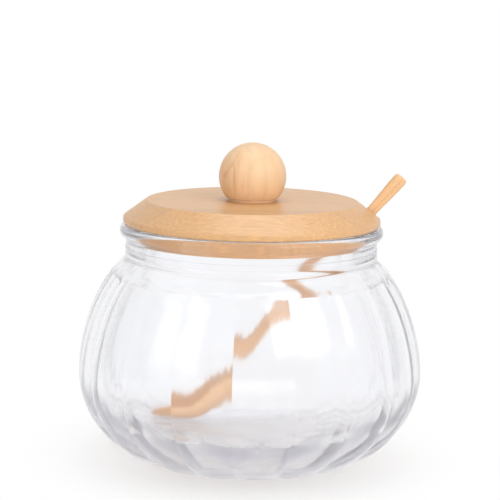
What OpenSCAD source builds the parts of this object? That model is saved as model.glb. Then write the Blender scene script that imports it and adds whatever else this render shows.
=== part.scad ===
// Lobed glass sugar jar with a lift-off wooden lid, a ball knob and a wooden spoon that stands in it.
// Millimetres, +Z up: the jar stands on Z = 0 with its axis on Z, and -Y is its front.

/* [Jar body] */
// Width over the lobes at the belly
belly_d = 100; // [94:1:108]
// Height of the widest place
belly_z = 26; // [22:0.5:30]
// Width of the underside where the lobes start
foot_d = 52; // [46:1:58]
// Width of the plain ring under the foot, inside the lobes
foot_ring = 1.6; // [0.8:0.1:2.4]
// Height of the corner where the shoulder meets the neck
shoulder_z = 58.8; // [54:0.2:66]
// Drop of the inside shoulder below that corner
shoulder_drop = 1; // [0.5:0.1:2]
// Least glass at the belly, under a groove
belly_wall = 2.8; // [2:0.1:4]
// Glass under the inside floor
floor_t = 6.5; // [4:0.5:9]
// Width of the flat inside floor
floor_d = 44; // [36:1:50]
// Width of the hollow under the foot
hollow_d = 40; // [30:1:42]
// Height of the hollow under the foot
hollow_h = 1.2; // [0.6:0.1:2]

/* [Lobes] */
// Number of lobes
lobes = 18; // [12:1:24]
// Depth of the grooves between the lobes
lobe_depth = 0.7; // [0.4:0.1:1.4]
// Turn of the grooves about the axis, degrees
lobe_turn = 4.7; // [0:0.1:20]
// Plain band between the lobes' tops and the neck
lobe_band = 2.6; // [1.5:0.1:5]
// Height over which a groove runs out at its top
lobe_fade = 2.6; // [2:0.2:6]

/* [Neck and rim] */
// Outside width of the neck
neck_d = 73; // [70:0.5:76]
// Height of the straight neck
neck_h = 5.6; // [5:0.1:8]
// Height of the mould's seam round the neck above the corner of shoulder and neck
seam_up = 3.6; // [2:0.1:4]
// How far the neck steps in at the seam
seam_in = 0.15; // [0.1:0.05:0.3]
// Glass in the neck
neck_wall = 2.5; // [1.8:0.1:3.2]
// How far the rim's bead stands out past the neck
rim_out = 1.6; // [1:0.1:2.4]
// Height of the rim's bead
rim_h = 4.4; // [3.8:0.1:6]
// Rounding of the bead's outer edges
bead_r = 1.8; // [0.8:0.1:2]
// Rounding of the rim's inner edge
lip_r = 1.1; // [0.6:0.1:1.2]
// How far the throat stands inside the mouth
throat_in = 0.9; // [0.3:0.1:1.1]
// Height of the throat above the corner of shoulder and neck
throat_up = 1.4; // [1:0.1:1.8]
// Height over which the inside narrows down to the throat
throat_h = 4; // [3:0.1:4.2]
// Depth below that corner by which the throat has run out
throat_drop = 5; // [4:0.2:7]

/* [Lid] */
// Thickness of the lid above the rim
lid_h = 6.7; // [6:0.1:9]
// How far the lid's edge stands inside the rim's edge
lid_inset = 0.85; // [0.2:0.05:2]
// Width of the slope round the top
slope_w = 6.6; // [4:0.1:9]
// Height of the slope round the top
slope_h = 4.9; // [3:0.1:5.2]
// Depth of the plug below the rim's top
plug_h = 4.8; // [3:0.1:6]
// Room all round between plug and neck
plug_gap = 1.2; // [0.5:0.1:2]
// Room under the lid where it rests on the rim
seat_gap = 0.1; // [0.05:0.05:0.3]
// Rounding of the lid's worn edges
edge_r = 0.7; // [0.3:0.1:0.8]

/* [Knob] */
// Width of the ball
knob_d = 19.5; // [16:0.5:24]
// Height of the ball's middle above the lid
knob_rise = 7; // [6:0.1:9]
// Width of the collar that the ball stands on
knob_seat_d = 13.2; // [10:0.2:14]
// Height of the collar
knob_collar = 0.9; // [0.4:0.1:1.5]

/* [Screw] */
// Width over the thread
screw_d = 3.5; // [3:0.1:4]
// Depth of the thread
thread_depth = 0.45; // [0.3:0.05:0.6]
// Pitch of the thread
thread_pitch = 1.6; // [1.2:0.1:2]
// Width of the head
screw_head_d = 7; // [6:0.1:8]
// Length over all
screw_l = 20; // [18:0.5:22]
// How deep the head is let into the plug
head_sink = 0.3; // [0.1:0.1:1]
// Room round the screw in the lid
shank_gap = 0.2; // [0.1:0.05:0.4]
// Room round the screw in the knob
thread_gap = 0.06; // [0.04:0.01:0.1]
// Length of the cross recess in the head
recess_l = 3.9; // [3:0.1:4.5]
// Width of the cross recess
recess_w = 0.9; // [0.6:0.1:1.2]
// Depth of the cross recess
recess_h = 1.3; // [0.8:0.1:1.6]

/* [Spoon] */
// Lean of the handle above level, degrees
spoon_tilt = 48.5; // [47:0.5:51]
// Bearing of the notch behind the right-hand side, degrees
spoon_turn = 8; // [0:1:30]
// Length of handle past the rim's top
handle_out = 18; // [14:0.5:24]
// Width of the handle
handle_w = 4.2; // [3.8:0.1:5]
// Thickness of the handle
handle_t = 2.9; // [2.6:0.1:3.4]
// Width of the handle where it leaves the bowl
root_w = 5.2; // [5:0.1:5.4]
// Thickness of the handle where it leaves the bowl
root_t = 3.7; // [3.4:0.1:4]
// Length over which the handle narrows from the bowl
root_l = 18; // [12:0.5:24]
// Width of the handle's rounded end
end_w = 5.8; // [5.2:0.1:7]
// Thickness of the handle's rounded end
end_t = 3.8; // [3.5:0.1:4.4]
// Length of the flare towards the rounded end
flare_l = 14; // [10:0.5:16]
// Length of the bowl
bowl_l = 26; // [24:0.5:30]
// Distance of the bowl's widest place from its tip
bowl_mid = 9.5; // [8:0.5:12]
// Length over which the bowl's outside narrows into the handle
taper_l = 8.4; // [6:0.2:11]
// Length over which the hollow runs out past the bowl
runout_l = 4.2; // [3:0.2:5]
// Width of the bowl
bowl_w = 16; // [14:0.5:19]
// Depth of the bowl outside
bowl_depth = 8; // [6:0.5:9]
// Wood in the bowl
bowl_wall = 1.6; // [1.2:0.1:2.2]
// Rise of the bowl's tip towards its hollow side
bowl_rise = 7; // [4:0.5:9]
// Room between the spoon and the glass
spoon_gap = 0.3; // [0.2:0.05:0.6]
// Room beside and inside the handle in the lid's notch
notch_gap = 0.7; // [0.5:0.1:1.2]

/* [Hidden] */
// Fineness of the round solids, and of the shaped ones
$fn = 96;
lobe_steps = 6;
curve_steps = 11;
round_steps = 4;
throat_steps = 6;
over = 1;

rim_z = shoulder_z + neck_h + rim_h;
neck_r = neck_d / 2;
mouth_r = neck_r - neck_wall;
rim_r = neck_r + rim_out;
lid_r = rim_r - lid_inset;
seat_z = rim_z + seat_gap;
top_z = seat_z + lid_h;
plug_r = mouth_r - plug_gap;
plug_z = rim_z - plug_h;
knob_r = knob_d / 2;
ball_z = top_z + knob_rise;
screw_z = plug_z + head_sink;

// Fullness of the body's side curves: the reach of each curve's handles beside its own span
foot_pull = 0.55;
belly_pull = [0.5, 0.24];
shoulder_pull = [0.73, 0.24];
// Reach of the throat's curve at its two ends, and its lean from upright at the lower one
throat_pull = [1.5, 3];
throat_lean = 50;

// The grooves stop below the plain band
lobe_top = shoulder_z - lobe_band;

// The spoon's line: it leans on the rounded inner edge of the rim
lean_r = mouth_r + lip_r
    - (spoon_gap + lip_r + handle_t / 2 - lip_r * cos(spoon_tilt)) / sin(spoon_tilt);
notch_w = handle_w + 2 * notch_gap;
notch_reach = lid_r;

// Stations along the spoon; its two round ends stop at these turns, short of a point
bowl_end = bowl_l + taper_l;
tip_turn = 8;
end_turn = 82;
settle_steps = 12;
tip_steps = 8;
neck_steps = 12;
root_steps = 5;
handle_steps = 3;
flare_steps = 6;
end_steps = 5;
arc_steps = 10;
end_cap = end_t / 2;
// Squareness of the handle's end: 2 is a half round, more is blunter
end_power = 4;

function mix(a, b, t) = a + (b - a) * t;
function clamp(t) = min(1, max(0, t));
function smooth(t) = pow(clamp(t), 2) * (3 - 2 * clamp(t));
// Point and slope at t on the cubic curve with the four handles p
function cubic(p, t) =
    pow(1 - t, 3) * p[0]
    + 3 * pow(1 - t, 2) * t * p[1]
    + 3 * (1 - t) * pow(t, 2) * p[2]
    + pow(t, 3) * p[3];
function cubic_slope(p, t) =
    3 * pow(1 - t, 2) * (p[1] - p[0])
    + 6 * (1 - t) * t * (p[2] - p[1])
    + 3 * pow(t, 2) * (p[3] - p[2]);

// Side curves from a foot point up to the belly, and from the belly up to a neck point
function low_curve(foot, belly) = [
    foot,
    [mix(foot.x, belly.x, foot_pull), foot.y],
    [belly.x, mix(belly.y, foot.y, belly_pull[0])],
    belly
];
function high_curve(belly, neck) = [
    belly,
    [belly.x, mix(belly.y, neck.y, belly_pull[1])],
    [mix(neck.x, belly.x, shoulder_pull[0]), mix(neck.y, belly.y, shoulder_pull[1])],
    neck
];

// Corner p of an outline between a and b, rounded by r
function corner(a, p, b, r) =
    let (va = (a - p) / norm(a - p))
    let (vb = (b - p) / norm(b - p))
    let (half = acos(va * vb) / 2)
    let (centre = p + (va + vb) / norm(va + vb) * r / sin(half))
    let (from = p + va * r / tan(half) - centre)
    let (to = p + vb * r / tan(half) - centre)
    let (start = atan2(from.y, from.x))
    let (sweep = atan2(from.x * to.y - from.y * to.x, from * to))
    [for (i = [0:round_steps])
        let (a = start + sweep * i / round_steps)
        centre + r * [cos(a), sin(a)]];
// An outline of [point, rounding] pairs with its corners rounded
function rounded(list) =
    let (n = len(list))
    [for (i = [0:n - 1])
        each list[i][1] == 0
            ? [list[i][0]]
            : corner(list[(i + n - 1) % n][0], list[i][0], list[(i + 1) % n][0], list[i][1])];

// Faces of a skin over rings of n points each, with both ends closed
function skin_faces(rings, n) = concat(
    [[for (j = [0:n - 1]) j]],
    [for (i = [0:rings - 2]) for (j = [0:n - 1]) for (k = [0, 1])
        let (a = i * n + j)
        let (b = i * n + (j + 1) % n)
        k == 0 ? [a, a + n, b] : [b, a + n, b + n]],
    [[for (j = [n - 1:-1:0]) (rings - 1) * n + j]]
);

// Lobed outside: places and outward directions along the side, from the foot up
outer_low = low_curve([foot_d / 2, 0], [belly_d / 2, belly_z]);
outer_high = high_curve([belly_d / 2, belly_z], [neck_r, shoulder_z]);
side = [for (curve = [outer_low, outer_high]) for (i = [0:curve_steps - 1])
    let (t = i / curve_steps)
    [cubic(curve, t), cubic_slope(curve, t)]];
function groove(z) = lobe_depth * smooth((lobe_top - z) / lobe_fade);
function lobe_fall(j) = pow(2 * (j % lobe_steps) / lobe_steps - 1, 2);
round_points = lobes * lobe_steps;
function turn(j) = lobe_turn + j * 360 / round_points;
function ring(r, z) = [for (j = [0:round_points - 1]) [r * cos(turn(j)), r * sin(turn(j)), z]];
function lobed_ring(s) =
    let (way = s[1] / norm(s[1]))
    let (depth = groove(s[0].y))
    [for (j = [0:round_points - 1])
        let (p = s[0] - depth * lobe_fall(j) * [way.y, -way.x])
        [p.x * cos(turn(j)), p.x * sin(turn(j)), p.y]];

module lobed_body() {
    rings = concat(
        [ring(foot_d / 2 - foot_ring, 0)],
        [for (s = side) lobed_ring(s)],
        [ring(neck_r - over, shoulder_z + over)]
    );
    polyhedron([for (r = rings) each r], skin_faces(len(rings), round_points));
}

// Inside of the jar: floor, curved side, throat, neck and the rounded lip
inner_low = low_curve([floor_d / 2, floor_t], [belly_d / 2 - lobe_depth - belly_wall, belly_z]);
inner_high = high_curve(inner_low[3], [mouth_r, shoulder_z - shoulder_drop]);
inner_body = concat(
    [for (i = [0:curve_steps]) cubic(inner_low, i / curve_steps)],
    [for (i = [1:curve_steps]) let (p = cubic(inner_high, i / curve_steps))
        if (p.y < shoulder_z - throat_drop) p]
);
body_end = inner_body[len(inner_body) - 1];
throat = [mouth_r - throat_in, shoulder_z + throat_up];
over_throat = [mouth_r, throat.y + throat_h];
throat_way = (throat - over_throat) / norm(throat - over_throat);
throat_curve = [
    body_end,
    body_end + throat_pull[1] * [-sin(throat_lean), cos(throat_lean)],
    throat + throat_pull[0] * throat_way,
    throat
];
inner_side = concat(
    inner_body,
    [for (i = [1:throat_steps]) cubic(throat_curve, i / throat_steps)],
    [over_throat]
);
lip_turn = 80;
lip = [for (i = [0:round_steps])
    let (a = 180 - lip_turn * i / round_steps)
    [mouth_r + lip_r, rim_z - lip_r] + lip_r * [cos(a), sin(a)]];
lip_out = lip[round_steps] + over * [sin(lip_turn), cos(lip_turn)];

module cavity() {
    rotate_extrude() polygon(concat(
        [[0, floor_t]],
        inner_side,
        lip,
        [lip_out, [lip_out.x, rim_z + over], [0, rim_z + over]]
    ));
}

module neck_and_rim() {
    under_r = rim_out / 3;
    side_r = min(bead_r, (rim_h - rim_out) / (1 + tan(22.5)));
    rotate_extrude() polygon(rounded([
        [[0, shoulder_z - 2 * over], 0],
        [[neck_r, shoulder_z - 2 * over], 0],
        [[neck_r, shoulder_z + seam_up], 0],
        [[neck_r - seam_in, shoulder_z + seam_up], 0],
        [[neck_r - seam_in, rim_z - rim_h], under_r],
        [[rim_r, rim_z - rim_h + rim_out], side_r],
        [[rim_r, rim_z], side_r],
        [[0, rim_z], 0]
    ]));
}

// Foot hollow: a shallow dome
module foot_hollow() {
    dome_r = (pow(hollow_d / 2, 2) + pow(hollow_h, 2)) / (2 * hollow_h);
    translate([0, 0, hollow_h - dome_r]) sphere(dome_r);
}

module glass_jar() {
    color("lightcyan", 0.4) difference() {
        union() {
            lobed_body();
            neck_and_rim();
        }
        cavity();
        foot_hollow();
    }
}

// Frame of the spoon: X along the handle from the rim outwards, Y across, Z to its hollow side
module spoon_frame() {
    rotate([0, 0, spoon_turn]) translate([lean_r, 0, rim_z]) rotate([0, -spoon_tilt, 0]) children();
}

// Slanting notch that the handle lies in, open to the lid's edge so that the lid lifts off past it
module notch() {
    inside = handle_t / 2 + notch_gap - notch_w / 2;
    spoon_frame() {
        translate([-notch_reach, 0, inside]) rotate([0, 90, 0]) cylinder(d = notch_w, h = 2 * notch_reach);
        translate([-notch_reach, -notch_w / 2, inside - notch_reach])
            cube([2 * notch_reach, notch_w, notch_reach]);
    }
}

// Countersunk wood screw, head down, with its thread as ridges; grow widens it for a hole
module screw_form(grow) {
    head_h = (screw_head_d - screw_d) / 2;
    core = screw_d / 2 - thread_depth;
    smooth_l = plug_h + seat_gap + lid_h - head_sink;
    tip_l = screw_d;
    turns = floor((screw_l - smooth_l - tip_l) / thread_pitch);
    ridges = [for (i = [0:turns - 1]) each [
        [core, smooth_l + i * thread_pitch],
        [screw_d / 2, smooth_l + (i + 0.5) * thread_pitch]
    ]];
    points = concat(
        [[screw_head_d / 2, 0], [screw_d / 2, head_h], [screw_d / 2, smooth_l - thread_depth]],
        ridges,
        [[core, smooth_l + turns * thread_pitch]]
    );
    translate([0, 0, screw_z]) rotate_extrude() polygon(concat(
        [[0, 0]],
        [for (p = points) p + [grow, 0]],
        [[0, screw_l + grow]]
    ));
}

module lid() {
    hole_r = screw_d / 2 + shank_gap;
    color("burlywood") difference() {
        rotate_extrude() polygon(rounded([
            [[0, plug_z], 0],
            [[plug_r, plug_z], edge_r],
            [[plug_r, seat_z], 0],
            [[lid_r, seat_z], edge_r],
            [[lid_r, top_z - slope_h], edge_r],
            [[lid_r - slope_w, top_z], edge_r],
            [[0, top_z], 0]
        ]));
        notch();
        translate([0, 0, plug_z - over]) cylinder(r = hole_r, h = top_z - plug_z + 2 * over);
        head_seat(hole_r);
    }
}

// Countersink for the screw's head in the underside of the plug
module head_seat(hole_r) {
    seat_r = screw_head_d / 2 + shank_gap;
    translate([0, 0, screw_z]) cylinder(r1 = seat_r, r2 = hole_r, h = seat_r - hole_r);
    translate([0, 0, plug_z - over]) cylinder(r = seat_r, h = head_sink + over);
}

module knob() {
    color("peru") difference() {
        union() {
            intersection() {
                translate([0, 0, ball_z]) sphere(knob_r);
                translate([-knob_d, -knob_d, top_z + knob_collar]) cube(2 * knob_d);
            }
            translate([0, 0, top_z]) cylinder(d = knob_seat_d, h = knob_collar + over);
        }
        screw_form(thread_gap);
    }
}

module knob_screw() {
    recess = [recess_l, recess_w, 2 * recess_h];
    color("silver") difference() {
        screw_form(0);
        for (a = [0, 90]) translate([0, 0, screw_z]) rotate([0, 0, a]) cube(recess, center = true);
    }
}

// Sections of the spoon, u from the bowl's tip: half width, depth below its line, hollow below its line
function tip_round(u) = sqrt(1 - pow(1 - min(u, bowl_mid) / bowl_mid, 2));
function to_handle(u, end) = smooth((u - bowl_mid) / (end - bowl_mid));
function to_thin(u) = smooth((u - bowl_end) / root_l);
function to_end(u) = smooth((u - (spoon_l - flare_l)) / (flare_l - end_cap));
function end_round(u) =
    pow(1 - pow(clamp((u - (spoon_l - end_cap)) / end_cap), end_power), 1 / end_power);
function half_w(u) = u < bowl_end
    ? mix(bowl_w / 2, root_w / 2, to_handle(u, bowl_end)) * tip_round(u)
    : mix(mix(root_w, handle_w, to_thin(u)), end_w, to_end(u)) / 2 * end_round(u);
function below(u) = u < bowl_end
    ? mix(bowl_depth, root_t / 2, to_handle(u, bowl_end)) * tip_round(u)
    : mix(mix(root_t, handle_t, to_thin(u)), end_t, to_end(u)) / 2 * end_round(u);
function hollow(u) = u < bowl_end
    ? mix(bowl_depth * tip_round(u) - bowl_wall, -root_t / 2, to_handle(u, bowl_l + runout_l))
    : -below(u);
function bend(u) = bowl_rise * pow(1 - min(u, bowl_end) / bowl_end, 2);
// The hollow's edge lies inside the outside's edge and a third as much above it
function edge(u) = min(bowl_wall, half_w(u)) / 2;
function half_turn(k) = 180 * k / arc_steps;
function upper(u, a) = [(half_w(u) - edge(u)) * cos(a), bend(u) + edge(u) / 3 - hollow(u) * sin(a)];
function lower(u, a) = [half_w(u) * cos(a), bend(u) - below(u) * sin(a)];
function section(u) = concat(
    [for (k = [0:arc_steps]) upper(u, half_turn(k))],
    [for (k = [arc_steps:-1:0]) lower(u, half_turn(k))]
);

// The bowl hangs on the spoon's line down to the floor, as low as the glass lets it
bowl_stations = concat(
    [for (i = [0:tip_steps]) bowl_mid * (1 - cos(mix(tip_turn, 90, i / tip_steps)))],
    [for (i = [1:neck_steps - 1]) mix(bowl_mid, bowl_end, i / neck_steps)]
);
floor_line = [for (p = inner_side) if (p.y <= belly_z) [p.x, p.y]];
function floor_at(r) = r <= floor_d / 2 ? floor_t : lookup(r, floor_line);
function height_over(u, q, depth) =
    let (along = lean_r - (depth - u) * cos(spoon_tilt) - q.y * sin(spoon_tilt))
    let (z = rim_z - (depth - u) * sin(spoon_tilt) + q.y * cos(spoon_tilt))
    z - floor_at(norm([along, q.x]));
function least_height(depth) = min([for (u = bowl_stations) for (q = section(u)) height_over(u, q, depth)]);
function settle(depth, steps) = steps < 1
    ? depth
    : settle(depth + (least_height(depth) - spoon_gap) / sin(spoon_tilt) / 2, steps - 1);
spoon_depth = settle((rim_z - floor_t) / sin(spoon_tilt), settle_steps);
spoon_l = spoon_depth + handle_out;
stations = concat(
    bowl_stations,
    [for (i = [0:root_steps]) mix(bowl_end, bowl_end + root_l, i / root_steps)],
    [for (i = [1:handle_steps]) mix(bowl_end + root_l, spoon_l - flare_l, i / handle_steps)],
    [for (i = [1:flare_steps]) mix(spoon_l - flare_l, spoon_l - end_cap, i / flare_steps)],
    [for (i = [1:end_steps]) spoon_l - end_cap + end_cap * pow(sin(end_turn * i / end_steps), 2 / end_power)]
);

module spoon() {
    rings = [for (u = stations) [for (q = section(u)) [u - spoon_depth, q.x, q.y]]];
    color("sandybrown") spoon_frame()
        polyhedron([for (r = rings) each r], skin_faces(len(rings), len(rings[0])));
}

glass_jar();
lid();
knob();
knob_screw();
spoon();
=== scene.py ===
# %% [markdown]
# # A lobed glass sugar jar with a wooden lid and spoon
# The jar is pressed clear glass with soft upright lobes. A bamboo lid with a ball knob drops into its neck,
# and a wooden spoon leans out through a notch in the lid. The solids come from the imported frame, already in
# their places. This lesson dresses them: the jar and the spoon get finer meshes, and every surface gets
# its finish.

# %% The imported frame
import math

import bpy
from mathutils import Matrix, Vector


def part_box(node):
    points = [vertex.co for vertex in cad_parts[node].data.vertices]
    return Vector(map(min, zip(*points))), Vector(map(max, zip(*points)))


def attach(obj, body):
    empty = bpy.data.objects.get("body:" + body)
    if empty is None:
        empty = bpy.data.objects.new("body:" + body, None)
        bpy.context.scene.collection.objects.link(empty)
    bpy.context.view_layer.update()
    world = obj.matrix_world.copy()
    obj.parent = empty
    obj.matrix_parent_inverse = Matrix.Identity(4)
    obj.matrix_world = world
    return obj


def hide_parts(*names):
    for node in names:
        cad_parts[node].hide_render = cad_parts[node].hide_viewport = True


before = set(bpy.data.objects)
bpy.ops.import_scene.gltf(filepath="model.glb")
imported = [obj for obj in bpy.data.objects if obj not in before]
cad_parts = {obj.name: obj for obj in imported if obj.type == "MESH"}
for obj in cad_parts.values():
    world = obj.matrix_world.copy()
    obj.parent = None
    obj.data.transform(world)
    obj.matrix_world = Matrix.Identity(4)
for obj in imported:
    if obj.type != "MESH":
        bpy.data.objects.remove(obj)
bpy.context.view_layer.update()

MM = 0.001
GLASS_BOUNCES, GLOSS_BOUNCES = 48, 16

scene = bpy.context.scene
scene.view_settings.view_transform = "Standard"
scene.cycles.max_bounces = GLASS_BOUNCES
scene.cycles.transmission_bounces = GLASS_BOUNCES
scene.cycles.glossy_bounces = GLOSS_BOUNCES
print("nodes:", sorted(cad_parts))

# %% [markdown]
# ## The camera
# The photograph was taken from a little above the lid with a long lens, and its frame leans by about one
# degree. The place and the focal length were fitted to the outlines of the rim, the neck, the belly and the
# foot, so the camera is set by real distances and not by eye.

# %% Camera
CAMERA_PLACE = Vector((0, -590, 154.7)) * MM
CAMERA_AIM = Vector((0, 0, 61)) * MM
CAMERA_LENS, CAMERA_SENSOR = 148.1, 36
CAMERA_ROLL = math.radians(1.01)
CAMERA_SHIFT = -0.0026

camera_data = bpy.data.cameras.new("photo_camera")
camera_data.lens = CAMERA_LENS
camera_data.sensor_width = CAMERA_SENSOR
camera_data.shift_x = CAMERA_SHIFT
camera = bpy.data.objects.new("photo_camera", camera_data)
scene.collection.objects.link(camera)
turn = (CAMERA_AIM - CAMERA_PLACE).to_track_quat("-Z", "Y").to_matrix()
rolled = (turn @ Matrix.Rotation(CAMERA_ROLL, 3, "Z")).to_4x4()
camera.matrix_world = Matrix.Translation(CAMERA_PLACE) @ rolled
scene.camera = camera
print("camera at", [round(v, 4) for v in CAMERA_PLACE])


# %% [markdown]
# ## Small helpers
# A material is a graph of nodes. A few helpers keep each graph short enough to read: they add a node and set
# its inputs, start a material with one Principled shader, and stretch, scale or blend what flows between.
# Everything is deselected before a new piece is made, because an operator acts on all that is selected.

# %% Helpers for nodes
def add_node(tree, kind, inputs=None, **settings):
    """A node of this kind; an input given as a socket is linked, any other value is set on the input."""
    made = tree.nodes.new(kind)
    for name, value in settings.items():
        setattr(made, name, value)
    for key, value in (inputs or {}).items():
        if isinstance(value, bpy.types.NodeSocket):
            tree.links.new(value, made.inputs[key])
        else:
            made.inputs[key].default_value = value
    return made


def new_material(name):
    """An empty material, its node tree, and its Principled shader already joined to the output."""
    made = bpy.data.materials.new(name)
    made.use_nodes = True
    made.node_tree.nodes.clear()
    shader = add_node(made.node_tree, "ShaderNodeBsdfPrincipled")
    add_node(made.node_tree, "ShaderNodeOutputMaterial", {"Surface": shader.outputs["BSDF"]})
    return made, made.node_tree, shader


def object_coords(tree):
    return add_node(tree, "ShaderNodeTexCoord").outputs["Object"]


def stretched(tree, coords, per_metre):
    """Coordinates counted in waves per metre along each axis."""
    return add_node(tree, "ShaderNodeMapping", {"Vector": coords, "Scale": per_metre}).outputs["Vector"]


def noise(tree, coords, per_metre, detail, **more):
    """Noise with this many waves per metre along each axis."""
    inputs = {"Vector": stretched(tree, coords, per_metre), "Scale": 1.0, "Detail": detail, **more}
    return add_node(tree, "ShaderNodeTexNoise", inputs).outputs["Fac"]


def maths(tree, operation, a, b=0.0, clamp=False):
    made = add_node(tree, "ShaderNodeMath", {0: a, 1: b}, operation=operation, use_clamp=clamp)
    return made.outputs[0]


def map_range(tree, value, start, end, low=0.0, high=1.0, interpolation="LINEAR"):
    """A value between start and end carried over to low and high, and held there outside them."""
    inputs = {"Value": value, "From Min": start, "From Max": end, "To Min": low, "To Max": high}
    return add_node(tree, "ShaderNodeMapRange", inputs, interpolation_type=interpolation).outputs[0]


def blend_colours(tree, share, a, b, blend_type="MIX"):
    """Two colours blended; a Mix node has its colours at inputs 6 and 7 and their blend at output 2."""
    inputs = {0: share, 6: a, 7: b}
    return add_node(tree, "ShaderNodeMix", inputs, data_type="RGBA", blend_type=blend_type).outputs[2]


def ramp(tree, share, *stops):
    """A colour ramp through (place, colour) stops."""
    made = add_node(tree, "ShaderNodeValToRGB", {"Fac": share})
    band = made.color_ramp
    while len(band.elements) < len(stops):
        band.elements.new(1.0)
    for element, (place, colour) in zip(band.elements, stops):
        element.position = place
        element.color = colour
    return made.outputs["Color"]


def grey(value):
    return (value, value, value, 1)


# %% Helpers for pieces
def deselect_all():
    if bpy.context.mode != "OBJECT":
        bpy.ops.object.mode_set(mode="OBJECT")
    bpy.ops.object.select_all(action="DESELECT")


def make_active(thing):
    deselect_all()
    thing.select_set(True)
    bpy.context.view_layer.objects.active = thing


def dress(piece, material):
    piece.data.materials.clear()
    piece.data.materials.append(material)


def aimed(place, aim, axis):
    """A matrix that stands at a place and points this axis at the aim."""
    aim_turn = (Vector(aim) - Vector(place)).to_track_quat(axis, "Y").to_matrix().to_4x4()
    return Matrix.Translation(place) @ aim_turn


# %% [markdown]
# ## The studio
# Clear glass shows only what stands round it, so the studio makes its look: a white surround, a pale floor
# that keeps the shadow and fades to white, large softboxes, and dark flags out of view at both sides. The
# surround is pure white to the camera, also by way of gloss and glass, and lights the wood more softly.

# %% White surround
AMBIENT = 0.5

world = bpy.data.worlds.new("white_surround")
world.use_nodes = True
scene.world = world
sky = world.node_tree
sky.nodes.clear()
path = add_node(sky, "ShaderNodeLightPath").outputs
seen = maths(sky, "ADD", path["Is Camera Ray"], path["Is Glossy Ray"])
seen = maths(sky, "ADD", seen, path["Is Transmission Ray"], clamp=True)
soft = add_node(sky, "ShaderNodeBackground", {"Color": grey(1), "Strength": AMBIENT}).outputs[0]
white = add_node(sky, "ShaderNodeBackground", {"Color": grey(1), "Strength": 1.0}).outputs[0]
both = add_node(sky, "ShaderNodeMixShader", {0: seen, 1: soft, 2: white}).outputs[0]
add_node(sky, "ShaderNodeOutputWorld", {"Surface": both})
print("ambient light", AMBIENT)

# %% [markdown]
# The floor fades to pure white before the edge of the frame. The jar's glass will cast no shadow, because a
# renderer's plain shadow of glass is far too dark, so the floor is a touch darker under the jar instead.

# %% Pale floor
FLOOR_R, FLOOR_SIDES = 1.2, 96
FLOOR_DROP = 0.05 * MM
FADE_FROM, FADE_TO = 0.025, 0.075
UNDER_FROM, UNDER_TO = 0.020, 0.045
UNDER_SHADE, FLOOR_SHADE = 0.97, 0.98

deselect_all()
bpy.ops.mesh.primitive_circle_add(vertices=FLOOR_SIDES, radius=FLOOR_R, fill_type="NGON",
                                  location=(0, 0, -FLOOR_DROP))
floor = bpy.context.object
floor.name = "floor"
floor_paint, tree, shader = new_material("pale_floor")
shader.inputs["Roughness"].default_value = 0.7
shader.inputs["Specular IOR Level"].default_value = 0.2
far = add_node(tree, "ShaderNodeVectorMath", {0: object_coords(tree)}, operation="LENGTH").outputs["Value"]
under = map_range(tree, far, UNDER_FROM, UNDER_TO, UNDER_SHADE, FLOOR_SHADE, "SMOOTHSTEP")
tree.links.new(under, shader.inputs["Base Color"])
fade = map_range(tree, far, FADE_FROM, FADE_TO, interpolation="SMOOTHSTEP")
paper = add_node(tree, "ShaderNodeEmission", {"Color": grey(1), "Strength": 1.0}).outputs[0]
mixed = add_node(tree, "ShaderNodeMixShader", {0: fade, 1: shader.outputs[0], 2: paper}).outputs[0]
tree.links.new(mixed, tree.nodes["Material Output"].inputs["Surface"])
dress(floor, floor_paint)
print("floor radius", FLOOR_R)

# %% [markdown]
# Large lamps give soft shadows and wide, faint reflections. Because the glass casts no shadow, a lamp lights
# the wood inside both straight and through the glass. The strong front lamp is therefore hidden from rays
# through glass, and from gloss too, where the photograph shows no lamp. The dark flags draw the grey lines
# that a photographer wants at the edge of a glass, and only glass and gloss can see them.


# %% Softboxes and dark flags
def softbox(name, place, aim, size, radiance):
    """A rectangular area lamp of this radiance; its power follows from its area."""
    lamp = bpy.data.lights.new(name, "AREA")
    lamp.shape = "RECTANGLE"
    lamp.size, lamp.size_y = size
    lamp.energy = radiance * math.pi * size[0] * size[1]
    made = bpy.data.objects.new(name, lamp)
    scene.collection.objects.link(made)
    made.matrix_world = aimed(place, aim, "-Z")
    made.visible_camera = False
    return made


def dark_flag(name, place, aim, size, shade):
    """A dark card that only glass and gloss can see."""
    deselect_all()
    bpy.ops.mesh.primitive_plane_add(size=1)
    made = bpy.context.object
    made.name = name
    made.data.transform(aimed(place, aim, "Z") @ Matrix.Diagonal((size[0], size[1], 1, 1)))
    card, tree, shader = new_material(name)
    shade_of = add_node(tree, "ShaderNodeEmission", {"Color": grey(shade), "Strength": 1.0}).outputs[0]
    tree.links.new(shade_of, tree.nodes["Material Output"].inputs["Surface"])
    tree.nodes.remove(shader)
    dress(made, card)
    made.visible_camera = False
    made.visible_shadow = False
    made.visible_diffuse = False


MIDDLE = (0, 0, 0.05)
softbox("key_softbox", (0.60, -0.60, 0.65), MIDDLE, (0.70, 0.70), 1.9)
softbox("fill_softbox", (-0.65, -0.45, 0.45), MIDDLE, (0.55, 0.70), 0.85)
softbox("top_softbox", (0.05, 0.15, 0.95), MIDDLE, (0.60, 0.50), 2.75)
front = softbox("front_softbox", (0.30, -1.08, 0.20), MIDDLE, (1.60, 0.38), 3.0)
front.visible_glossy = False
front.visible_transmission = False
dark_flag("left_flag", (-0.42, 0.02, 0.12), MIDDLE, (0.42, 0.45), 0.60)
dark_flag("right_flag", (0.42, 0.02, 0.12), MIDDLE, (0.30, 0.40), 0.80)

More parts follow.
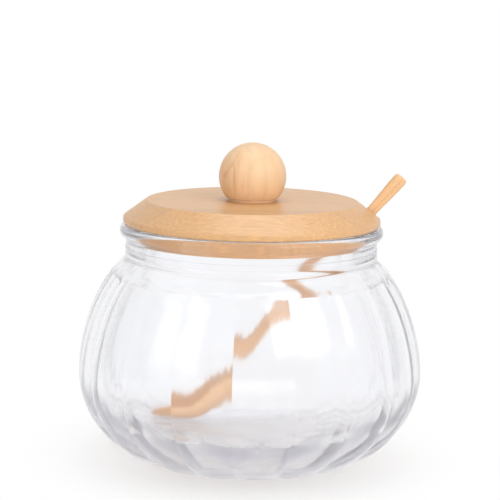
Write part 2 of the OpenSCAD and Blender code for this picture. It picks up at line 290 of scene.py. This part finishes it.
# %% [markdown]
# ## The glass jar
# Pressed glass is thick at the foot and thin at the belly, and its outside and inside are two different
# curves. A lathe is the natural way to draw that: one closed half-outline from the hollow under the foot, up
# the outside, over the rim and down the inside is spun about the axis. The inside narrows to a throat below
# the neck, and a tiny step outside the neck is the mould's seam. The lobes come afterwards, because a lathe
# can't cut them. The sizes are those of the solid, in millimetres and degrees.

# %% Sizes of the glass
BELLY_R, BELLY_Z = 50.0, 26.0
FOOT_R, FOOT_RING = 26.0, 1.6
HOLLOW_R, HOLLOW_H = 20.0, 1.2
SHOULDER_Z, SHOULDER_DROP = 58.8, 1.0
NECK_R, NECK_WALL = 36.5, 2.5
RIM_OUT, RIM_H, LIP_R, BEAD_R = 1.6, 4.4, 1.1, 1.8
FLOOR_IN_R, FLOOR_T = 22.0, 6.5
BELLY_WALL = 2.8
LOBES, LOBE_DEPTH, LOBE_TURN = 18, 0.7, 4.7
LOBE_BAND, LOBE_FADE = 2.6, 2.6
FOOT_PULL, BELLY_PULL, SHOULDER_PULL = 0.55, (0.5, 0.24), (0.73, 0.24)
THROAT_IN, THROAT_UP, THROAT_H, THROAT_DROP = 0.9, 1.4, 4.0, 5.0
THROAT_PULL, THROAT_LEAN = (1.5, 3.0), 50.0
SEAM_UP, SEAM_IN, SEAM_R = 3.6, 0.15, 0.05
CORNER_R, SHOULDER_R = 0.5, 1.0
CURVE_STEPS, THROAT_STEPS, ROUND_STEPS, RING_STEPS = 40, 16, 8, 4
rim_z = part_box("glass_jar")[1][2] / MM
mouth_r = NECK_R - NECK_WALL
rim_r = NECK_R + RIM_OUT
print("rim at", round(rim_z, 2), "mouth radius", mouth_r)

# %% [markdown]
# Each side is two cubic curves, from the foot to the belly and from the belly to the neck. An arc takes the
# place of every corner.


# %% Curves and corners
def mix(a, b, share):
    return a + (b - a) * share


def cubic(p, t):
    """The point at t on the cubic curve with four handles."""
    u = 1 - t
    return p[0] * u**3 + p[1] * 3 * u * u * t + p[2] * 3 * u * t * t + p[3] * t**3


def low_curve(foot, belly):
    return [foot, Vector((mix(foot.x, belly.x, FOOT_PULL), foot.y)),
            Vector((belly.x, mix(belly.y, foot.y, BELLY_PULL[0]))), belly]


def high_curve(belly, neck):
    near_neck = Vector((mix(neck.x, belly.x, SHOULDER_PULL[0]), mix(neck.y, belly.y, SHOULDER_PULL[1])))
    return [belly, Vector((belly.x, mix(belly.y, neck.y, BELLY_PULL[1]))), near_neck, neck]


def along(curve, first=0):
    return [cubic(curve, i / CURVE_STEPS) for i in range(first, CURVE_STEPS + 1)]


def rounded_corner(before, corner, after, radius):
    """An arc in place of a corner."""
    a = (before - corner).normalized()
    b = (after - corner).normalized()
    half = math.acos(max(-1, min(1, a.dot(b)))) / 2
    centre = corner + (a + b).normalized() * (radius / math.sin(half))
    start = corner + a * (radius / math.tan(half)) - centre
    sweep = start.angle_signed(corner + b * (radius / math.tan(half)) - centre)
    return [centre + Matrix.Rotation(-sweep * i / ROUND_STEPS, 2) @ start for i in range(ROUND_STEPS + 1)]


# %% [markdown]
# The outline is then put together in the order in which a pencil would draw it, from the axis under the foot
# to the axis on the inner floor.

# %% Outline of the glass
dome_r = (HOLLOW_R**2 + HOLLOW_H**2) / (2 * HOLLOW_H)
dome_turn = math.asin(HOLLOW_R / dome_r)
hollow = [Vector((dome_r * math.sin(a), HOLLOW_H - dome_r + dome_r * math.cos(a)))
          for a in (dome_turn * i / ROUND_STEPS for i in range(ROUND_STEPS + 1))]
ring = [Vector((mix(HOLLOW_R, FOOT_R - FOOT_RING, k / RING_STEPS), 0)) for k in range(1, RING_STEPS + 1)]
outer_low = along(low_curve(Vector((FOOT_R, 0)), Vector((BELLY_R, BELLY_Z))))
outer_high = along(high_curve(Vector((BELLY_R, BELLY_Z)), Vector((NECK_R, SHOULDER_Z))), 1)
inner_belly = Vector((BELLY_R - LOBE_DEPTH - BELLY_WALL, BELLY_Z))
inner_low = along(low_curve(Vector((FLOOR_IN_R, FLOOR_T)), inner_belly))
inner_high = along(high_curve(inner_belly, Vector((mouth_r, SHOULDER_Z - SHOULDER_DROP))), 1)

throat = Vector((mouth_r - THROAT_IN, SHOULDER_Z + THROAT_UP))
over_throat = Vector((mouth_r, throat.y + THROAT_H))
inner_high = [p for p in inner_high if p.y < SHOULDER_Z - THROAT_DROP]
lean = math.radians(THROAT_LEAN)
bulge = [inner_high[-1], inner_high[-1] + THROAT_PULL[1] * Vector((-math.sin(lean), math.cos(lean))),
         throat + THROAT_PULL[0] * (throat - over_throat).normalized(), throat]
inner_high += [cubic(bulge, i / THROAT_STEPS) for i in range(1, THROAT_STEPS + 1)]

seam_z = SHOULDER_Z + SEAM_UP
seam_r = NECK_R - SEAM_IN
corners = [outer_high[-2], Vector((NECK_R, SHOULDER_Z)), Vector((NECK_R, seam_z)), Vector((seam_r, seam_z)),
           Vector((seam_r, rim_z - RIM_H)), Vector((rim_r, rim_z - RIM_H + RIM_OUT)), Vector((rim_r, rim_z)),
           Vector((mouth_r, rim_z)), over_throat, throat]
radii = [SHOULDER_R, SEAM_R, SEAM_R, CORNER_R, BEAD_R, BEAD_R, LIP_R, CORNER_R]
neck = []
for k, radius in enumerate(radii, 1):
    neck += rounded_corner(corners[k - 1], corners[k], corners[k + 1], radius)
while (outer_high[-1] - neck[0]).dot(corners[0] - corners[1]) < 0:
    outer_high.pop()
outside = outer_low + outer_high
outline = hollow + ring + outside + neck + inner_high[::-1] + inner_low[::-1][1:] + [Vector((0, FLOOR_T))]
print("outline points", len(outline))

# %% [markdown]
# A single vertex starts the outline, and each further point is extruded from the last, as one would click it
# by hand. The outside's points go into a vertex group that carries how deep a groove may be at that height,
# and the inside's into another for its faint waves. The spin copies these weights to every meridian, so the
# lobes and the waves know where they begin and end.

# %% Draw the outline
INNER_FROM, INNER_TO = 14.0, 54.0
turn_0 = math.radians(LOBE_TURN)


def on_meridian(p):
    return Vector((p.x * math.cos(turn_0), p.x * math.sin(turn_0), p.y)) * MM


def smooth_step(t):
    t = max(0.0, min(1.0, t))
    return t * t * (3 - 2 * t)


deselect_all()
bpy.ops.mesh.primitive_plane_add(size=MM)
jar = bpy.context.object
jar.name = "jar_glass"
bpy.ops.object.mode_set(mode="EDIT")
bpy.ops.mesh.select_all(action="SELECT")
bpy.ops.mesh.merge(type="CENTER")
bpy.ops.transform.translate(value=on_meridian(outline[0]))
for here, there in zip(outline, outline[1:]):
    step = on_meridian(there) - on_meridian(here)
    bpy.ops.mesh.extrude_vertices_move(TRANSFORM_OT_translate={"value": step})
bpy.ops.object.mode_set(mode="OBJECT")

grooves = jar.vertex_groups.new(name="grooves")
side_first = len(hollow) + len(ring)
lobe_top = SHOULDER_Z - LOBE_BAND
for i in range(side_first, side_first + len(outside)):
    grooves.add([i], smooth_step((lobe_top - outline[i].y) / LOBE_FADE), "REPLACE")
waves_in = jar.vertex_groups.new(name="inner_waves")
for i in range(len(outline) - len(inner_low) - len(inner_high), len(outline)):
    rise = smooth_step((outline[i].y - INNER_FROM) / LOBE_FADE)
    fall = smooth_step((INNER_TO - outline[i].y) / LOBE_FADE)
    waves_in.add([i], rise * fall, "REPLACE")
print("outline vertices", len(jar.data.vertices))

# %% Spin the glass
LOBE_STEPS = 14
MERGE_GAP = 0.005 * MM

bpy.ops.object.mode_set(mode="EDIT")
bpy.ops.mesh.select_all(action="SELECT")
bpy.ops.mesh.spin(steps=LOBES * LOBE_STEPS, angle=2 * math.pi, center=(0, 0, 0), axis=(0, 0, 1))
bpy.ops.mesh.select_all(action="SELECT")
bpy.ops.mesh.remove_doubles(threshold=MERGE_GAP)
bpy.ops.mesh.normals_make_consistent(inside=False)
bpy.ops.object.mode_set(mode="OBJECT")
print("jar vertices", len(jar.data.vertices), "faces", len(jar.data.polygons))

# %% [markdown]
# Each lobe falls away from its crest like a shallow parabola and meets its neighbour in a crisp groove. So
# every weight is multiplied by that fall, from 0 on a crest to 1 in a groove, and a Displace modifier then
# pushes the skin inwards along its own normal. The bearing ring under the foot gets its fine knurl in the
# same way. The inside gets gentle waves, one to a lobe, which break the picture of the spoon at the lobes.

# %% Press the lobes
KNURL_DEPTH, KNURL_EDGE, FOOT_LEVEL = 0.08, 0.5, 0.01
INNER_DEPTH = 0.42
CREASE = math.radians(14)

for vertex in jar.data.vertices:
    angle = math.degrees(math.atan2(vertex.co.y, vertex.co.x)) - LOBE_TURN
    share = (angle * LOBES / 360) % 1.0
    r, z = math.hypot(vertex.co.x, vertex.co.y) / MM, vertex.co.z / MM
    weight = sum(g.weight for g in vertex.groups if g.group == grooves.index)
    inside = sum(g.weight for g in vertex.groups if g.group == waves_in.index)
    if inside > 0:
        waves_in.add([vertex.index], inside * (1 + math.cos(2 * math.pi * share)) / 2, "REPLACE")
    if weight > 0:
        grooves.add([vertex.index], weight * (2 * share - 1) ** 2, "REPLACE")
    elif z < FOOT_LEVEL and HOLLOW_R + KNURL_EDGE < r < FOOT_R - FOOT_RING - KNURL_EDGE:
        knurl = round(share * LOBE_STEPS) % 2
        grooves.add([vertex.index], knurl * KNURL_DEPTH / LOBE_DEPTH, "REPLACE")

make_active(jar)
for group, depth in ((grooves, -LOBE_DEPTH), (waves_in, INNER_DEPTH)):
    press = jar.modifiers.new(group.name, "DISPLACE")
    press.vertex_group = group.name
    press.direction = "NORMAL"
    press.mid_level = 0.0
    press.strength = depth * MM
    bpy.ops.object.modifier_apply(modifier=press.name)
bpy.ops.object.shade_smooth_by_angle(angle=CREASE)
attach(jar, "jar")
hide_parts("glass_jar")
print("jar spans", [round(v / MM, 2) for v in jar.dimensions])

# %% [markdown]
# ## Clear glass
# The glass is colourless with a breath of cold tint, and a weak absorption greys it where it is thick.
# Pressed glass is never optically flat: its skin carries faint upright ripples from the mould, which tear the
# image of the spoon. They are far too fine to model, so they are a bump that is short round the jar and long
# up its side. The neck and the rim are smoother in the photograph, so the bump nearly dies away there.

# %% Glass finish
RIPPLES = (300, 300, 16)
RIPPLE_HEIGHT = 0.12 * MM
SMOOTH_FROM, SMOOTH_TO = 55 * MM, 59 * MM
BODY_RIPPLE, NECK_RIPPLE = 0.55, 0.08
GLASS_GREY, GLASS_DENSITY = (0.90, 0.90, 0.925, 1), 30.0

glass, tree, shader = new_material("clear_glass")
shader.inputs["Base Color"].default_value = (0.985, 0.988, 1.0, 1)
shader.inputs["Roughness"].default_value = 0.12
shader.inputs["IOR"].default_value = 1.5
shader.inputs["Transmission Weight"].default_value = 1.0
coords = object_coords(tree)
ripple = noise(tree, coords, RIPPLES, 2.0)
height = add_node(tree, "ShaderNodeSeparateXYZ", {0: coords}).outputs["Z"]
calm = map_range(tree, height, SMOOTH_FROM, SMOOTH_TO, BODY_RIPPLE, NECK_RIPPLE)
waves = add_node(tree, "ShaderNodeBump", {"Height": ripple, "Strength": calm, "Distance": RIPPLE_HEIGHT})
tree.links.new(waves.outputs["Normal"], shader.inputs["Normal"])
absorb = add_node(tree, "ShaderNodeVolumeAbsorption", {"Color": GLASS_GREY, "Density": GLASS_DENSITY})
tree.links.new(absorb.outputs["Volume"], tree.nodes["Material Output"].inputs["Volume"])
dress(jar, glass)
jar.visible_shadow = False
print("glass nodes", len(tree.nodes))

# %% [markdown]
# ## The spoon
# A whittled spoon has no flat anywhere. Its solid in the frame already has the right sections, so a copy of
# that mesh is merged into one skin and a Subdivision Surface rounds away the facets.

# %% Round the spoon
SPOON_MERGE_GAP = 0.01 * MM
SPOON_LEVELS = 2

deselect_all()
spoon = bpy.data.objects.new("sugar_spoon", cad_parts["spoon"].data.copy())
scene.collection.objects.link(spoon)
make_active(spoon)
bpy.ops.object.mode_set(mode="EDIT")
bpy.ops.mesh.select_all(action="SELECT")
bpy.ops.mesh.remove_doubles(threshold=SPOON_MERGE_GAP)
bpy.ops.mesh.tris_convert_to_quads()
bpy.ops.object.mode_set(mode="OBJECT")
soften = spoon.modifiers.new("soften", "SUBSURF")
soften.levels = SPOON_LEVELS
soften.render_levels = SPOON_LEVELS
bpy.ops.object.modifier_apply(modifier=soften.name)
bpy.ops.object.shade_smooth()
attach(spoon, "spoon")
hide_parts("spoon")
print("spoon faces", len(spoon.data.polygons))

# %% [markdown]
# ## Bamboo
# The lid is sawn from a board of bamboo strips glued side by side. The strips run from left to right, each
# with its own tone and a thin glue line. Inside a strip fine fibres run the same way: long streaks on the
# top, and bright dashes where the slope cuts across them. Both textures fill space and are stretched along
# the fibres. The plug below the rim gets painted light: its colour is made brighter and warmer, to meet its
# tone behind the glass.

# %% Bamboo finish
STRIP_W = 19 * MM
STRIP_SHIFT = 2 * MM
LAYER_H = 6.3 * MM
FIBRES, BUNDLES = (45, 2300, 2300), (240, 1500, 1500)
SPECK_SHARE = 0.8
# Painted light on the plug: a brighter, warmer multiplier for the wood below the rim.
PLUG_PAINTED_LIGHT = (1.15, 1.06, 0.93, 1)

bamboo, tree, shader = new_material("bamboo")
coords = object_coords(tree)
axes = add_node(tree, "ShaderNodeSeparateXYZ", {0: coords}).outputs
across = maths(tree, "DIVIDE", maths(tree, "ADD", axes["Y"], STRIP_SHIFT), STRIP_W)
strip = maths(tree, "FLOOR", across)
layer = maths(tree, "FLOOR", maths(tree, "DIVIDE", axes["Z"], LAYER_H))
which = add_node(tree, "ShaderNodeCombineXYZ", {"X": strip, "Y": layer}).outputs[0]
tone = add_node(tree, "ShaderNodeTexWhiteNoise", {"Vector": which}).outputs["Value"]
board = ramp(tree, tone, (0.0, (0.64, 0.365, 0.168, 1)), (0.5, (0.70, 0.412, 0.20, 1)),
             (1.0, (0.705, 0.402, 0.182, 1)))
fibre = noise(tree, coords, FIBRES, 3.0, Roughness=0.6)
streak = ramp(tree, fibre, (0.30, grey(0.86)), (0.52, grey(1.0)), (0.72, grey(1.08)))
board = blend_colours(tree, 1.0, board, streak, "MULTIPLY")
bundle_inputs = {"Vector": stretched(tree, coords, BUNDLES), "Scale": 1.0}
bundle = add_node(tree, "ShaderNodeTexVoronoi", bundle_inputs).outputs["Distance"]
speck = ramp(tree, bundle, (0.08, (1.15, 1.13, 1.0, 1)), (0.42, (0.92, 0.91, 0.89, 1)))
board = blend_colours(tree, SPECK_SHARE, board, speck, "MULTIPLY")
joint = maths(tree, "ABSOLUTE", maths(tree, "SUBTRACT", maths(tree, "FRACT", across), 0.5))
glue = ramp(tree, joint, (0.488, grey(1.0)), (0.498, grey(0.80)))
board = blend_colours(tree, 1.0, board, glue, "MULTIPLY")
# Painted light: below the rim the bamboo colour is multiplied brighter and warmer.
plug = maths(tree, "LESS_THAN", axes["Z"], rim_z * MM)
board = blend_colours(tree, plug, board, PLUG_PAINTED_LIGHT, "MULTIPLY")
tree.links.new(board, shader.inputs["Base Color"])
shader.inputs["Roughness"].default_value = 0.37
shader.inputs["Specular IOR Level"].default_value = 0.6
grain = add_node(tree, "ShaderNodeBump", {"Height": fibre, "Strength": 0.3, "Distance": 0.08 * MM})
tree.links.new(grain.outputs["Normal"], shader.inputs["Normal"])
dress(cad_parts["lid"], bamboo)
print("bamboo nodes", len(tree.nodes))

# %% [markdown]
# ## Turned knob
# The ball is turned from a pale close-grained wood with its grain upright. Its left side shows a warm figure
# where the growth rings run out, so a soft patch there mixes in a browner tone along the same grain.

# %% Knob finish
FIGURE_PLACE = Vector((-7.5, -6.0, 83.5)) * MM
FIGURE_R, FIGURE_CORE = 8.5 * MM, 0.3
FIGURE_TONE = (0.63, 0.257, 0.085, 1)

knob_wood, tree, shader = new_material("knob_wood")
coords = object_coords(tree)
fine = noise(tree, coords, (520, 520, 34), 3.0)
broad = noise(tree, coords, (150, 150, 22), 2.0, Distortion=0.6)
ball = ramp(tree, broad, (0.30, (0.78, 0.513, 0.293, 1)), (0.50, (0.803, 0.542, 0.321, 1)),
            (0.70, (0.822, 0.565, 0.345, 1)))
ball = blend_colours(tree, 1.0, ball, ramp(tree, fine, (0.32, grey(0.93)), (0.6, grey(1.02))), "MULTIPLY")
apart = add_node(tree, "ShaderNodeVectorMath", {0: coords, 1: FIGURE_PLACE}, operation="DISTANCE")
patch = map_range(tree, apart.outputs["Value"], FIGURE_R, FIGURE_CORE * FIGURE_R)
rings = noise(tree, coords, (280, 280, 95), 2.0, Distortion=1.0)
run_out = ramp(tree, rings, (0.44, grey(0.08)), (0.64, grey(0.66)))
figure = maths(tree, "MULTIPLY", patch, run_out, clamp=True)
ball = blend_colours(tree, figure, ball, FIGURE_TONE)
tree.links.new(ball, shader.inputs["Base Color"])
shader.inputs["Roughness"].default_value = 0.42
shader.inputs["Specular IOR Level"].default_value = 0.4
dress(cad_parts["knob"], knob_wood)
print("knob nodes", len(tree.nodes))

# %% [markdown]
# ## Spoon wood
# The grain of the spoon runs along its handle, so the coordinates are first turned into the spoon's own lean
# and bearing, and then stretched along it. The handle's end is a little paler, as in the photograph.

# %% Spoon finish
SPOON_LEAN, SPOON_BEARING = math.radians(48.5), math.radians(8)
PALE_FROM, PALE_TO = 68 * MM, 80 * MM
PALE_END = (1.12, 1.09, 0.95, 1)

spoon_wood, tree, shader = new_material("spoon_wood")
lean_inputs = {"Vector": object_coords(tree), "Rotation": (0, -SPOON_LEAN, SPOON_BEARING)}
own = add_node(tree, "ShaderNodeMapping", lean_inputs, vector_type="TEXTURE").outputs["Vector"]
fine = noise(tree, own, (25, 500, 500), 1.0)
broad = noise(tree, own, (18, 160, 160), 2.0)
wood = ramp(tree, broad, (0.30, (0.672, 0.41, 0.231, 1)), (0.55, (0.731, 0.466, 0.28, 1)),
            (0.75, (0.771, 0.507, 0.319, 1)))
wood = blend_colours(tree, 1.0, wood, ramp(tree, fine, (0.32, grey(0.965)), (0.6, grey(1.02))), "MULTIPLY")
along_spoon = add_node(tree, "ShaderNodeSeparateXYZ", {0: own}).outputs["X"]
pale = map_range(tree, along_spoon, PALE_FROM, PALE_TO)
wood = blend_colours(tree, pale, wood, PALE_END, "MULTIPLY")
tree.links.new(wood, shader.inputs["Base Color"])
shader.inputs["Roughness"].default_value = 0.5
shader.inputs["Specular IOR Level"].default_value = 0.35
dress(spoon, spoon_wood)
print("spoon nodes", len(tree.nodes))

# %% [markdown]
# ## Screw
# One screw from below holds the knob. Only its head shows, under the plug, when the lid is lifted.

# %% Screw finish
zinc, tree, shader = new_material("bright_zinc")
patina = noise(tree, object_coords(tree), (900, 900, 900), 2.0)
bright = ramp(tree, patina, (0.3, (0.50, 0.50, 0.51, 1)), (0.7, (0.68, 0.68, 0.69, 1)))
tree.links.new(bright, shader.inputs["Base Color"])
shader.inputs["Metallic"].default_value = 1.0
shader.inputs["Roughness"].default_value = 0.32
dress(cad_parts["knob_screw"], zinc)
print("screw nodes", len(tree.nodes))
